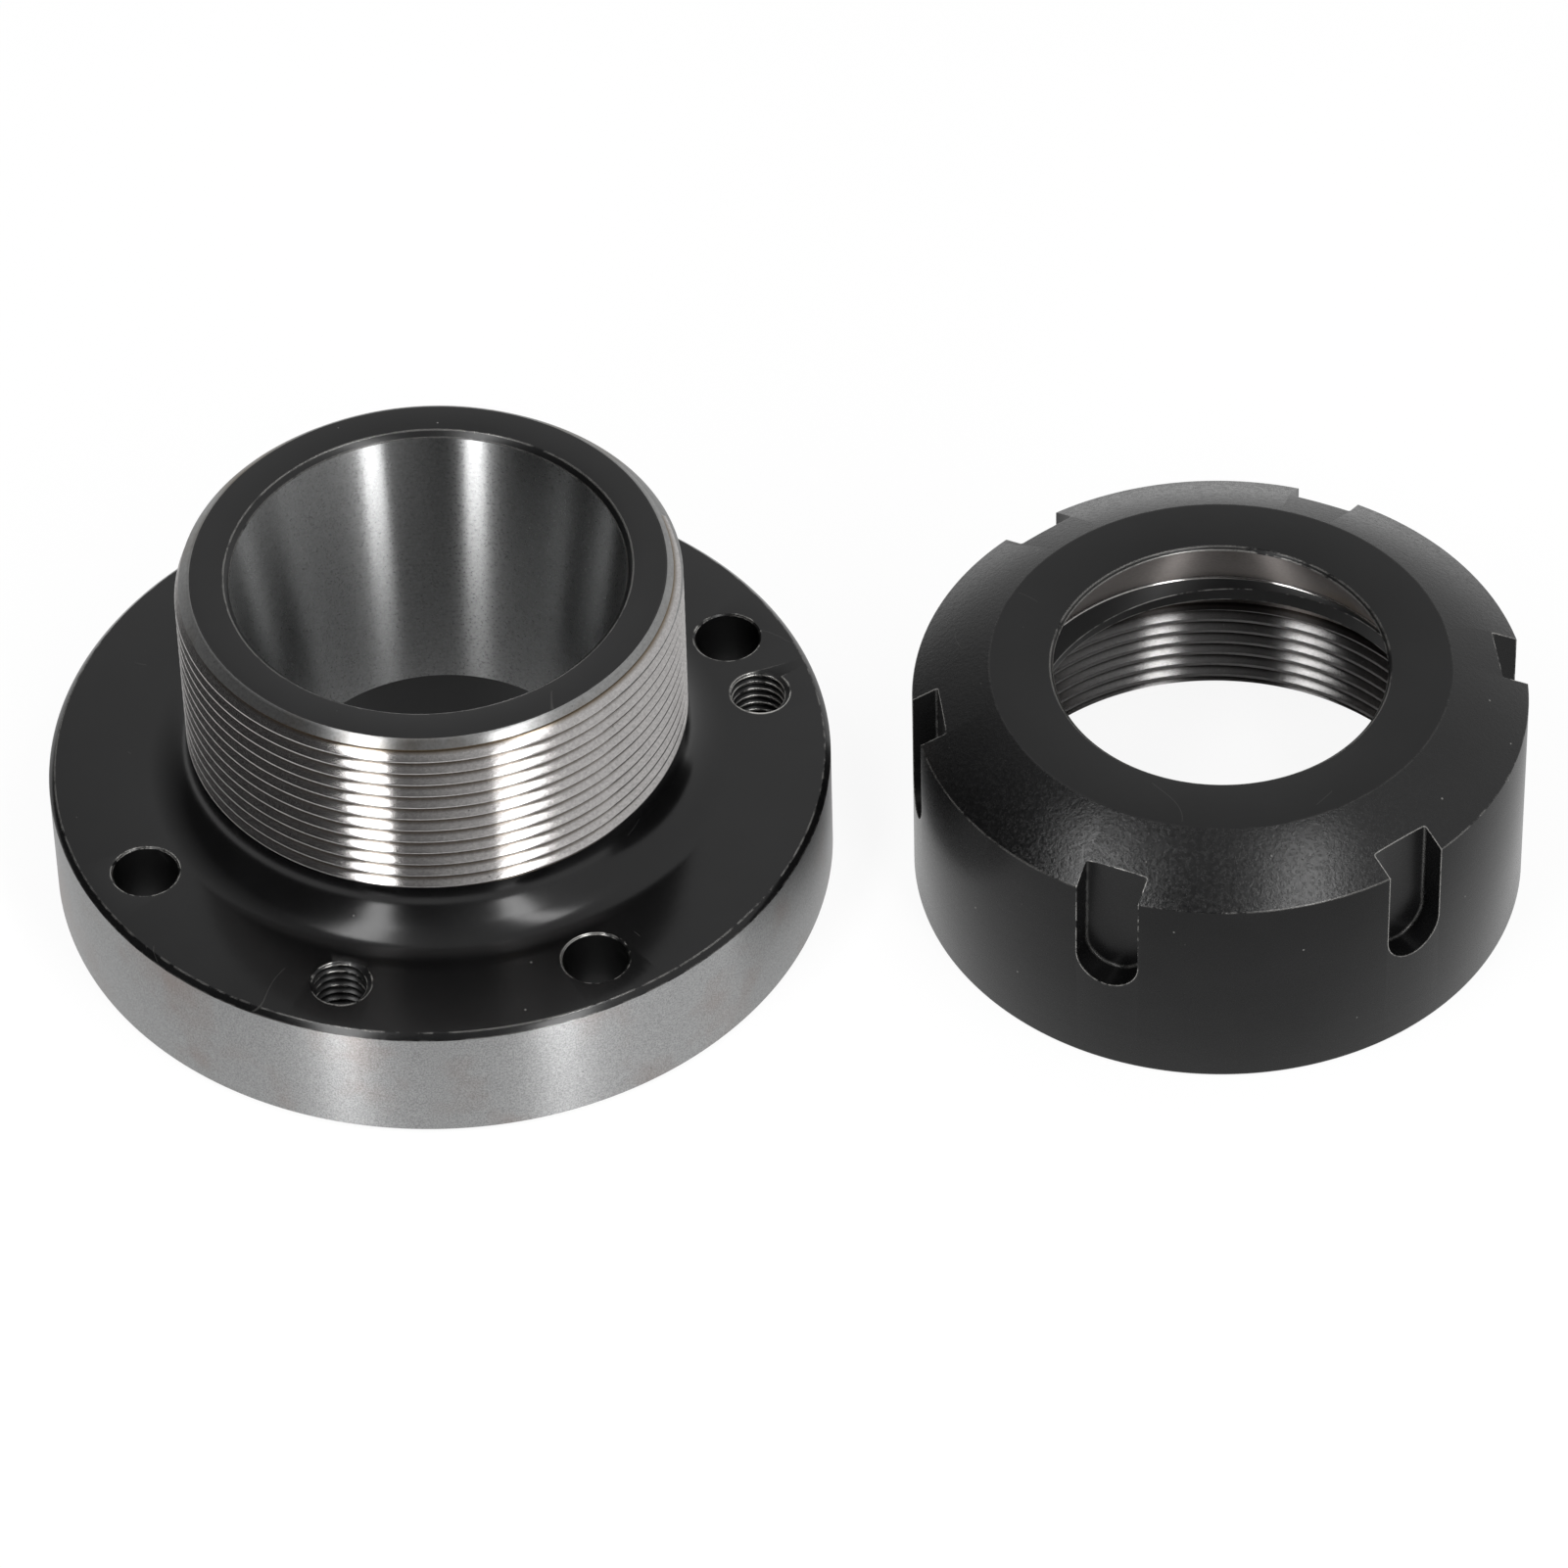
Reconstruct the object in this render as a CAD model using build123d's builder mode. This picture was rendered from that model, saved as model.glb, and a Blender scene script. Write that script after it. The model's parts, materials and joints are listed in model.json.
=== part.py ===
from build123d import *
import os
from math import cos, radians, sin, sqrt, tan

# A flange collet chuck, in millimetres. It has two pieces: the flanged body, with
# the tapered collet socket and the threaded nose turned on it, and the clamping nut,
# which is taken off and stands beside the body with its front face up.
# The origin is on the body's axis, in the plane of the flange's rear face. +Z points
# to the nose, and +X roughly to the nut.

# Collet socket, an 8 degree taper that is 50 wide at its mouth, and the plain bore
# behind it
socket_mouth_d = 50.0
socket_half_angle = 8.0
socket_mouth_chamfer = 0.75
rear_bore_l = 8.05

# Nose of the body, M64 x 2. Its helix is too fine for this model, so the nose is a
# plain cylinder of the major diameter and the nut a plain bore of the minor one.
nose_wall = 7.0
nose_l = 25.7
nose_front_chamfer = 2.0
thread_exit_rise = 0.7
thread_pitch = 2.0
thread_play = 0.05

# Undercut where the thread runs out, and the quarter round cove from it down to the
# flange
undercut_depth = 1.5
cove_r = 6.8

# Flange
flange_t = 17.5
flange_edge_chamfer = 0.6
rim_beyond_bolts = 8.0

# Clearance holes for the mounting screws, set just outside the cove, and M8 holes at
# their tapping size on the same circle, each a little way round from one of them
bolt_hole_d = 8.4
bolt_hole_count = 4
bolt_hole_angle = 28.0
bolt_hole_land = 0.5
tapped_hole_d = 6.8
tapped_hole_count = 3
tapped_hole_lag = 15.0

# Recess in the rear face, which registers on the spindle's spigot
register_inside_bolts = 6.0
register_depth = 4.0

# Outside of the clamping nut, and its place beside the body
slot_floor_wall = 3.1
nut_face_w = 8.15
nut_cone_angle = 27.2
nut_gap = 10.5
nut_bearing = -2.9

# Inside of the nut, from its rear: the thread, the relief where it ends, the ring
# that pulls the collet out, and the 30 degree seat for the collet's face
nut_thread_l = 14.0
relief_depth = 0.4
relief_l = 7.1
ring_offset = 1.3
ring_least = 0.2
ring_land = 0.85
ring_slope = 32.0
seat_room = 2.0
seat_half_angle = 30.0
seat_l = 10.22
nut_bore_chamfer = 0.45

# Hook spanner slots in the nut's rim
slot_count = 6
slot_angle = 5.9
slot_w = 8.2
slot_l = 20.6
slot_depth = 3.5

# Smallest difference that tells one edge from another
same_place = 0.001

# A cubic's handle for a quarter round, over the radius, and the share of the thread's
# full triangle that the nut's minor diameter stands in from its major one
quarter_handle = 4 / 3 * (sqrt(2) - 1)
minor_share = 5 / 8

# Radii and heights of the body
socket_mouth_r = socket_mouth_d / 2
thread_r = socket_mouth_r + nose_wall
undercut_r = thread_r - undercut_depth
cove_foot_r = undercut_r + cove_r
cove_handle = cove_r * quarter_handle
nose_foot_z = flange_t + cove_r
body_h = nose_foot_z + nose_l
bolt_circle_r = cove_foot_r + bolt_hole_land + bolt_hole_d / 2
flange_r = bolt_circle_r + rim_beyond_bolts
register_r = bolt_circle_r - register_inside_bolts
socket_floor_z = register_depth + rear_bore_l
socket_l = body_h - socket_mouth_chamfer - socket_floor_z
rear_bore_r = socket_mouth_r - socket_l * tan(radians(socket_half_angle))
tapped_hole_angle = bolt_hole_angle - tapped_hole_lag

# Radii and heights of the nut
thread_form_h = thread_pitch * sqrt(3) / 2
nut_thread_r = thread_r - minor_share * thread_form_h + thread_play
relief_r = thread_r + relief_depth
slot_floor_r = relief_r + slot_floor_wall
nut_r = slot_floor_r + slot_depth
seat_r = socket_mouth_r + seat_room
ring_bore_r = seat_r - ring_offset - ring_least
ring_core_r = ring_bore_r - ring_offset - ring_least
nut_bore_r = seat_r - seat_l * tan(radians(seat_half_angle))
nut_face_r = nut_bore_r + nut_face_w
ring_rear_z = nut_thread_l + relief_l
ring_lip_z = ring_rear_z + ring_land
seat_foot_z = ring_lip_z + (seat_r - ring_core_r) * tan(radians(ring_slope))
seat_top_z = seat_foot_z + seat_l
nut_h = seat_top_z + nut_bore_chamfer
nut_cone_z = nut_h - (nut_r - nut_face_r) * tan(radians(nut_cone_angle))

# Axis of the nut, beside the body
nut_distance = flange_r + nut_gap + nut_r
nut_x = nut_distance * cos(radians(nut_bearing))
nut_y = nut_distance * sin(radians(nut_bearing))
nut_base = Plane(origin=(nut_x, nut_y, 0))
nut_section = Plane(origin=(nut_x, nut_y, 0), x_dir=(1, 0, 0), z_dir=(0, -1, 0))
nut_axis = Axis((nut_x, nut_y, 0), (0, 0, 1))


def circles(part, radius, height):
    """The part's circular edges of one radius that lie at one height."""
    rounds = part.edges().filter_by(GeomType.CIRCLE)
    same_size = rounds.filter_by(lambda edge: abs(edge.radius - radius) < same_place)
    return same_size.filter_by_position(Axis.Z, height - same_place, height + same_place)


# Body: one turned piece, revolved from its half section
with BuildPart() as chuck_body:
    with BuildSketch(Plane.XZ):
        with BuildLine():
            Polyline(
                (rear_bore_r, register_depth),
                (register_r, register_depth),
                (register_r, 0),
                (flange_r, 0),
                (flange_r, flange_t),
                (cove_foot_r, flange_t),
            )
            Bezier(
                (cove_foot_r, flange_t),
                (cove_foot_r - cove_handle, flange_t),
                (undercut_r, nose_foot_z - cove_handle),
                (undercut_r, nose_foot_z),
            )
            Polyline(
                (undercut_r, nose_foot_z),
                (thread_r, nose_foot_z + thread_exit_rise),
                (thread_r, body_h),
                (socket_mouth_r + socket_mouth_chamfer, body_h),
                (socket_mouth_r, body_h - socket_mouth_chamfer),
                (rear_bore_r, socket_floor_z),
                (rear_bore_r, register_depth),
            )
        make_face()
    revolve(axis=Axis.Z)

    # The broken edges of the turning
    chamfer(circles(chuck_body, thread_r, body_h), nose_front_chamfer)
    chamfer(circles(chuck_body, flange_r, flange_t), flange_edge_chamfer)

    # Holes through the flange, drilled from its front face
    with Locations(Plane.XY.offset(flange_t)):
        with PolarLocations(bolt_circle_r, bolt_hole_count, bolt_hole_angle):
            Hole(bolt_hole_d / 2)
        with PolarLocations(bolt_circle_r, tapped_hole_count, tapped_hole_angle):
            Hole(tapped_hole_d / 2)

# Nut: one turned piece, with the ring bored off centre and the slots milled in
with BuildPart() as clamping_nut:
    with BuildSketch(nut_section):
        with BuildLine():
            Polyline(
                (nut_thread_r, 0),
                (nut_r, 0),
                (nut_r, nut_cone_z),
                (nut_face_r, nut_h),
                (nut_bore_r + nut_bore_chamfer, nut_h),
                (nut_bore_r, seat_top_z),
                (seat_r, seat_foot_z),
                (ring_core_r, ring_lip_z),
                (ring_core_r, ring_rear_z),
                (relief_r, ring_rear_z),
                (relief_r, nut_thread_l),
                (nut_thread_r, nut_thread_l),
                close=True,
            )
        make_face()
    revolve(axis=nut_axis)

    # The thread's mouth is opened to its major diameter
    chamfer(circles(clamping_nut, nut_thread_r, 0), thread_r - nut_thread_r)

    # The ring's bore is off the nut's axis, so the ring stands out on one side and
    # hooks into the collet's groove
    with BuildSketch(nut_base.offset(ring_rear_z)):
        with Locations((ring_offset, 0)):
            Circle(ring_bore_r)
    extrude(amount=seat_foot_z - ring_rear_z, mode=Mode.SUBTRACT)

    # Each slot is milled square to the rim, with a round end, and runs out at the cone
    for number in range(slot_count):
        outward = radians(slot_angle + number * 360 / slot_count)
        across = (-sin(outward), cos(outward), 0)
        away = (cos(outward), sin(outward), 0)
        slot_end_z = nut_h - slot_l + slot_w / 2
        floor_centre = (
            nut_x + slot_floor_r * away[0],
            nut_y + slot_floor_r * away[1],
            slot_end_z,
        )
        with BuildSketch(Plane(origin=floor_centre, x_dir=across, z_dir=away)):
            Circle(slot_w / 2)
            Rectangle(slot_w, slot_l, align=(Align.CENTER, Align.MIN))
        extrude(amount=2 * slot_depth, mode=Mode.SUBTRACT)

chuck_body.part.label = "chuck_body"
clamping_nut.part.label = "clamping_nut"

os.makedirs("parts", exist_ok=True)
export_step(chuck_body.part, "parts/chuck_body.step")
export_step(clamping_nut.part, "parts/clamping_nut.step")
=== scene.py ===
import bmesh
import bpy
import json
from bpy.props import FloatProperty, FloatVectorProperty, IntProperty, PointerProperty
from math import cos, hypot, pi, radians, sin, tan
from mathutils import Matrix, Vector


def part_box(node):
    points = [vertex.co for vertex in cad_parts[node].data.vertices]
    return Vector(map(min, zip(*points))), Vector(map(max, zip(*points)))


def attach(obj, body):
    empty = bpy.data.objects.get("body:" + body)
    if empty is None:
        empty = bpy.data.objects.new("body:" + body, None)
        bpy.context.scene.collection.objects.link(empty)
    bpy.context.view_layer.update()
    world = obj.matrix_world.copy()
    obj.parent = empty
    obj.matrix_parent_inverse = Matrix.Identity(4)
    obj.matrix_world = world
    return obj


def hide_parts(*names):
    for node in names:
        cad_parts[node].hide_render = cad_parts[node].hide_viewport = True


bl_info = {
    "name": "Flange Collet Chuck",
    "version": (1, 0, 0),
    "blender": (4, 5, 0),
    "location": "View3D > Sidebar > Chuck",
    "description": "Turns the chuck's flanged body and its nut, and sets them on a studio floor",
    "category": "Add Mesh",
}

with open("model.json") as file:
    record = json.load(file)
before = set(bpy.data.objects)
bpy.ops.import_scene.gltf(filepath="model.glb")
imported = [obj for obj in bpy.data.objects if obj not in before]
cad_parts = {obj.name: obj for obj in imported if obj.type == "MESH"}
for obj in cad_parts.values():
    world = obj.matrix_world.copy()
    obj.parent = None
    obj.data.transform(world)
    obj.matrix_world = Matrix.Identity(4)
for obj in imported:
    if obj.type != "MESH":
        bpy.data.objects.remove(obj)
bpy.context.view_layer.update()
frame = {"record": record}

# Everything is in metres. Sizes that a machinist would give in millimetres are
# written as a number of MM.
MM = 0.001

# What the frame says of the two pieces
MOUNTS = {mount["name"]: mount for mount in frame["record"]["mounts"]}
BODY_HIGH = Vector(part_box("chuck_body")[1])
NUT_LOW, NUT_HIGH = (Vector(corner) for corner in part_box("clamping_nut"))
NUT_CENTRE = (NUT_LOW + NUT_HIGH) / 2
ORIGIN = Vector((0.0, 0.0, 0.0))
BODY_AXIS = ORIGIN
NUT_AXIS = Vector((NUT_CENTRE.x, NUT_CENTRE.y, 0.0))


def mount_size(mount, key="r_mm"):
    """A size of one of the record's mounts, in metres."""
    return MOUNTS[mount]["dims"][key] * MM


# Steps of a full turn on the pieces and in the holes, and of the cove's quarter round
ROUND_STEPS = 256
HOLE_STEPS = 64
COVE_STEPS = 24

# Points closer than the first are one, what a cut leaves below the second is a sliver,
# and a place within the third counts as on a surface
SAME_POINT = 0.002 * MM
SLIVER = 0.0005 * MM
NEAR = 0.01 * MM

# The floor's middle and size, and how far from the nut's thread the painted shadow that the
# metal sees on the floor turns from dim to white
FLOOR_CENTRE = (0.05, 0.0, 0.0)
FLOOR_RADIUS = 3.0
FLOOR_FADE = 5 * MM

# Faces that meet at less than this are shaded as one
SMOOTH_ANGLE = radians(40.0)

# The metric thread in shares of its pitch: how deep its groove is on a screw, in a nut
# and in the tapped holes, and half the groove's width at the crests of each
SCREW_DEPTH, SCREW_HALF_GAP = 0.6134, 0.4375
NUT_DEPTH, NUT_HALF_GAP = 0.5413, 0.375
TAPPED_DEPTH, TAPPED_HALF_GAP = 0.54, 0.43
FLANK_LEAN = tan(radians(30.0))


def length(name, description, millimetres):
    """A length, given in millimetres."""
    return FloatProperty(
        name=name, description=description, default=millimetres * MM, unit="LENGTH", precision=5)


def angle(name, description, degrees):
    """An angle, given in degrees."""
    return FloatProperty(
        name=name, description=description, default=radians(degrees), subtype="ANGLE")


def colour(name, description, channels):
    """A colour, given as linear red, green and blue."""
    return FloatVectorProperty(
        name=name, description=description, default=channels, subtype="COLOR", size=3,
        min=0.0, max=1.0)


def level(name, description, value, most=100.0):
    """A brightness, where 1 is white."""
    return FloatProperty(
        name=name, description=description, default=value, min=0.0, max=most)


class ChuckBodySizes(bpy.types.PropertyGroup):
    """Sizes of the flanged body that the frame doesn't give"""

    flange_thickness: length("Flange Thickness", "Height of the flange's front face", 17.5)
    cove_radius: length("Cove Radius", "Radius of the round between flange and nose", 6.8)
    undercut_depth: length("Undercut Depth", "Depth of the undercut below the thread's crests", 1.5)
    thread_exit_rise: length("Thread Exit Rise", "Height of the slope that ends the thread", 0.7)
    nose_chamfer: length("Nose Chamfer", "Chamfer on the front of the nose", 1.8)
    nose_round: length("Nose Round", "Round between the nose's front face and its chamfer", 0.3)
    mouth_chamfer: length("Mouth Chamfer", "Chamfer at the mouth of the collet socket", 0.75)
    rim_chamfer: length("Rim Chamfer", "Chamfer on both edges of the flange's rim", 0.75)
    register_chamfer: length("Register Chamfer", "Chamfer at the mouth of the rear recess", 0.5)
    hole_chamfer: length("Hole Chamfer", "Chamfer on the edges of the plain holes", 0.2)
    tapped_chamfer_more: length(
        "Tapped Chamfer More", "How much wider the chamfers of the tapped holes are", 0.1)
    edge_round: length("Edge Round", "Round on the fine edges of the turning", 0.08)
    bolt_hole_angle: angle("Bolt Hole Angle", "Bearing of the first plain hole", 28.0)
    tapped_hole_lag: angle(
        "Tapped Hole Lag", "Angle from a plain hole back to its tapped neighbour", 15.0)


class ClampingNutSizes(bpy.types.PropertyGroup):
    """Sizes of the clamping nut that the frame doesn't give"""

    face_radius: length("Face Radius", "Outer radius of the flat front face", 29.25)
    bore_radius: length("Bore Radius", "Radius of the front bore", 21.1)
    bore_chamfer: length("Bore Chamfer", "Chamfer on the front bore's edge", 0.45)
    cone_drop: length("Cone Drop", "Height of the cone between face and rim", 5.01)
    rear_chamfer: length("Rear Chamfer", "Chamfer on the rear edge of the rim", 0.36)
    seat_radius: length("Seat Radius", "Radius of the wide end of the collet's seat", 27.0)
    seat_foot: length("Seat Foot", "Height of the wide end of the collet's seat", 23.82)
    seat_round: length("Seat Round", "Round between the collet's seat and the pulling ring", 0.3)
    ring_core_radius: length(
        "Ring Core Radius", "Radius of the pulling ring before it is bored off centre", 24.0)
    ring_lip: length("Ring Lip", "Height of the pulling ring's inner edge", 21.95)
    ring_rear: length("Ring Rear", "Height of the pulling ring's rear face", 21.1)
    ring_bore_radius: length("Ring Bore Radius", "Radius of the ring's off centre bore", 25.5)
    ring_offset: length("Ring Offset", "Distance of the ring's bore from the nut's axis", 1.3)
    relief_radius: length("Relief Radius", "Radius of the relief behind the ring", 32.4)
    thread_length: length("Thread Length", "Height of the threaded part of the bore", 14.0)
    edge_round: length("Edge Round", "Round on the fine edges of the turning", 0.1)
    slot_count: IntProperty(
        name="Slot Count", description="Number of spanner slots", default=6, min=1)
    slot_angle: angle("Slot Angle", "Bearing of the first spanner slot", 5.9)
    slot_width: length("Slot Width", "Width of a spanner slot", 8.2)
    slot_length: length("Slot Length", "Length of a spanner slot below the front face", 20.6)
    slot_depth: length("Slot Depth", "Depth of a spanner slot in the rim", 3.5)
    slot_corner: length("Slot Corner", "Round between a slot's floor and its wall", 0.3)


class ThreadSizes(bpy.types.PropertyGroup):
    """Sizes of the threads that the frame doesn't give"""

    nose_pitch: length("Nose Pitch", "Pitch of the nose's thread and of the nut's", 2.0)
    nose_phase: length("Nose Phase", "Height of a groove of the nose at bearing zero", 1.2)
    nut_phase: length("Nut Phase", "Height of a groove of the nut at bearing zero", 0.65)
    screw_pitch: length("Screw Pitch", "Pitch of the tapped holes in the flange", 1.25)
    play: length("Play", "Play between the nose's crests and the nut's roots", 0.05)
    crest_break: length("Crest Break", "Round on the edges of the crests, nose and nut", 0.05)


class FinishColours(bpy.types.PropertyGroup):
    """Colours of the metal finishes"""

    ground_steel: colour("Ground Steel", "Steel as the grinding wheel leaves it", (0.338, 0.34, 0.341))
    thread_steel: colour("Thread Steel", "Steel as the threading tool leaves it", (0.445, 0.431, 0.424))
    chamfer_steel: colour(
        "Chamfer Steel", "Duller steel of the chamfer on the nose", (0.285, 0.285, 0.283))
    taper_steel: colour("Taper Steel", "Hardened steel of the ground taper", (0.203, 0.205, 0.205))
    seat_steel: colour("Seat Steel", "Steel of the nut's seat", (0.178, 0.163, 0.155))
    nut_thread_steel: colour("Nut Thread Steel", "Steel of the nut's thread", (0.152, 0.149, 0.148))
    # Straw and brown tint in patches, and in the roots of the nose's thread also painted shade
    heat_tint_and_root_shade: colour("Heat Tint", "Straw and brown tint in the roots", (0.13, 0.095, 0.055))
    # Painted shade in the roots of the nut's thread
    nut_root_shade: colour("Nut Root", "Dark roots of the nut's thread", (0.045, 0.038, 0.034))
    rust_tint: colour("Rust Tint", "Faint reddish stain on bare steel", (0.24, 0.15, 0.11))
    black_oxide: colour("Black Oxide", "Blackened steel", (0.0025, 0.0025, 0.0026))
    worn_steel: colour(
        "Worn Steel", "Bare steel where the black has worn off an edge", (0.50, 0.49, 0.47))


class StudioSettings(bpy.types.PropertyGroup):
    """Camera, lamps and floor"""

    lens: FloatProperty(
        name="Lens", description="Focal length on a 36 mm sensor, in millimetres",
        default=220.27, min=1.0)
    pitch: angle("Camera Pitch", "How far the camera looks down", 45.123)
    roll: angle("Camera Roll", "How far the camera leans to its side", 1.597)
    camera_place: FloatVectorProperty(
        name="Camera Place", description="Where the camera stands",
        default=(43.877 * MM, -868.915 * MM, 882.776 * MM), subtype="TRANSLATION", size=3)
    lamp_radiance: level("Lamp Radiance", "Brightness of the softboxes' cloth", 9.5)
    sky: level("Sky", "Brightness of the studio overhead", 0.62)
    sky_right: level("Sky Right", "How much brighter the studio is on the right", 1.0)
    sky_behind: level("Sky Behind", "How much brighter the studio is behind the chuck", 0.45)
    sky_least: level("Sky Least", "Least brightness of the studio", 0.04)
    sky_most: level("Sky Most", "Greatest brightness of the studio", 0.85)
    floor_white: level("Floor White", "How white the floor shows", 0.9, most=1.0)
    # As the metal sees it, the floor inside the nut is a painted shadow of this whiteness
    shaded_floor: level(
        "Shaded Floor", "How white the metal sees the floor inside the nut", 0.06, most=1.0)


def to_objects():
    """Leave edit mode with nothing selected."""
    if bpy.context.mode != "OBJECT":
        bpy.ops.object.mode_set(mode="OBJECT")
    bpy.ops.object.select_all(action="DESELECT")


def pick(piece):
    """Select one piece alone."""
    to_objects()
    piece.select_set(True)
    bpy.context.view_layer.objects.active = piece


def edit(piece, kind="VERT"):
    """Start editing one piece, with all of its mesh selected."""
    pick(piece)
    bpy.ops.object.mode_set(mode="EDIT")
    bpy.ops.mesh.select_mode(type=kind)
    bpy.ops.mesh.select_all(action="SELECT")


def edit_where(piece, kind, wanted):
    """Start editing one piece, with the vertices or edges selected that pass a test."""
    edit(piece, kind)
    bpy.ops.mesh.select_all(action="DESELECT")
    mesh = bmesh.from_edit_mesh(piece.data)
    for item in mesh.verts if kind == "VERT" else mesh.edges:
        item.select_set(wanted(item))
    mesh.select_flush_mode()
    bmesh.update_edit_mesh(piece.data)


def close_up():
    """Merge the edited mesh's doubles and turn its faces outwards."""
    bpy.ops.mesh.select_all(action="SELECT")
    bpy.ops.mesh.remove_doubles(threshold=SAME_POINT)
    bpy.ops.mesh.normals_make_consistent(inside=False)
    bpy.ops.mesh.select_all(action="DESELECT")


def turn(name, outline, axis, steps=ROUND_STEPS):
    """Draw a half section, as radius and height, by extruding a point, and spin it.

    A section that starts and ends on the axis is a solid, and any other closes on itself.
    """
    to_objects()
    first = Vector((axis.x + outline[0][0], axis.y, axis.z + outline[0][1]))
    bpy.ops.mesh.primitive_plane_add(size=MM, location=first)
    piece = bpy.context.object
    piece.name = name
    piece.data.name = name
    edit(piece)
    bpy.ops.mesh.merge(type="CENTER")
    on_axis = outline[0][0] == 0.0 and outline[-1][0] == 0.0
    corners = outline if on_axis else outline + outline[:1]
    for start, end in zip(corners, corners[1:]):
        step = (end[0] - start[0], 0.0, end[1] - start[1])
        bpy.ops.mesh.extrude_region_move(TRANSFORM_OT_translate={"value": step})
    bpy.ops.mesh.select_all(action="SELECT")
    bpy.ops.mesh.spin(steps=steps, angle=2 * pi, center=axis, axis=(0.0, 0.0, 1.0))
    close_up()
    place_in_mesh(piece)
    return piece


def place_in_mesh(piece):
    """Put a piece's place into its mesh, with the object at the origin."""
    pick(piece)
    bpy.ops.object.transform_apply(location=True, rotation=True, scale=True)


def quarter_cove(foot_radius, foot_height, radius):
    """Points of the round from the flange's face up to the nose."""
    bends = [number / COVE_STEPS * pi / 2 for number in range(COVE_STEPS + 1)]
    return [(foot_radius - radius * sin(bend), foot_height + radius * (1 - cos(bend)))
            for bend in bends]


def break_edges(piece, axis, rings, width, segments):
    """Bevel the circular edges that lie at the given radii and heights."""

    def on_ring(vertex):
        out = hypot(vertex.co.x - axis.x, vertex.co.y - axis.y)
        return any(abs(out - r) < NEAR and abs(vertex.co.z - z) < NEAR for r, z in rings)

    def on_rings(edge):
        low, high = edge.verts
        return abs(low.co.z - high.co.z) < NEAR and on_ring(low) and on_ring(high)

    edit_where(piece, "EDGE", on_rings)
    bpy.ops.mesh.bevel(
        offset_type="OFFSET", offset=width, segments=segments, profile=0.5,
        affect="EDGES", clamp_overlap=True)
    to_objects()


def cut(piece, tool):
    """Cut a tool's solid out of a piece and throw the tool away."""
    pick(piece)
    modifier = piece.modifiers.new("cut", "BOOLEAN")
    modifier.operation = "DIFFERENCE"
    modifier.solver = "MANIFOLD"
    modifier.object = tool
    corners_before = len(piece.data.vertices)
    bpy.ops.object.modifier_apply(modifier=modifier.name)
    if len(piece.data.vertices) == corners_before:
        raise RuntimeError(f"{tool.name} cut nothing from {piece.name}")
    drop(tool)


def clean(piece):
    """Dissolve the slivers that the cuts left."""
    edit(piece)
    bpy.ops.mesh.remove_doubles(threshold=SLIVER)
    bpy.ops.mesh.dissolve_degenerate(threshold=SLIVER)
    to_objects()


def drop(tool):
    """Delete a cutting tool."""
    mesh = tool.data
    bpy.data.objects.remove(tool)
    bpy.data.meshes.remove(mesh)


def copy_round(tool, places):
    """Copy a tool to each place, with a mesh of its own, and join the copies into one."""
    copies = []
    for matrix in places:
        twin = tool.copy()
        twin.data = tool.data.copy()
        twin.matrix_world = matrix @ tool.matrix_world
        bpy.context.collection.objects.link(twin)
        copies.append(twin)
    drop(tool)
    to_objects()
    for twin in copies:
        twin.select_set(True)
    bpy.context.view_layer.objects.active = copies[0]
    bpy.ops.object.join()
    place_in_mesh(copies[0])
    return copies[0]


def thread_tool(name, section, axis, pitch, phase, low, high, steps=ROUND_STEPS):
    """A helical tool: a closed section, as radius and height, screwed from low to high.

    The groove's middle passes the height phase at bearing zero, and the thread is
    right handed.
    """
    to_objects()
    start = phase + pitch * ((low - phase) // pitch)
    turns = int((high - start) // pitch) + 1
    bpy.ops.mesh.primitive_circle_add(vertices=len(section), radius=MM, location=axis)
    tool = bpy.context.object
    tool.name = name
    for vertex, (radius, height) in zip(tool.data.vertices, section):
        vertex.co = (radius, 0.0, start + height)
    screw = tool.modifiers.new("helix", "SCREW")
    screw.axis = "Z"
    screw.angle = 2 * pi
    screw.screw_offset = pitch
    screw.iterations = turns
    screw.steps = steps
    bpy.ops.object.modifier_apply(modifier=screw.name)
    edit(tool, "EDGE")
    bpy.ops.mesh.remove_doubles(threshold=SAME_POINT)
    bpy.ops.mesh.select_all(action="DESELECT")
    bpy.ops.mesh.select_non_manifold(extend=False)
    bpy.ops.mesh.edge_face_add()
    close_up()
    place_in_mesh(tool)
    return tool


def groove_section(crest_radius, root_radius, crest_gap, reach, crest_break=0.0):
    """A thread groove with 60 degree flanks, drawn past the crest by reach.

    The crest may be outside the root, as on a screw, or inside it, as in a nut. A crest
    break takes the corners off the crest.
    """
    outward = 1 if crest_radius > root_radius else -1
    depth = abs(crest_radius - root_radius)
    root_gap = crest_gap - depth * FLANK_LEAN
    beyond = crest_radius + outward * reach
    upper = [
        (root_radius, root_gap),
        (crest_radius - outward * crest_break, crest_gap - crest_break * FLANK_LEAN),
        (crest_radius, crest_gap + crest_break),
        (beyond, crest_gap + crest_break),
    ]
    if crest_break == 0.0:
        del upper[1]
    lower = [(radius, -height) for radius, height in reversed(upper)]
    return lower[-1:] + upper + lower[:-1]


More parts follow.
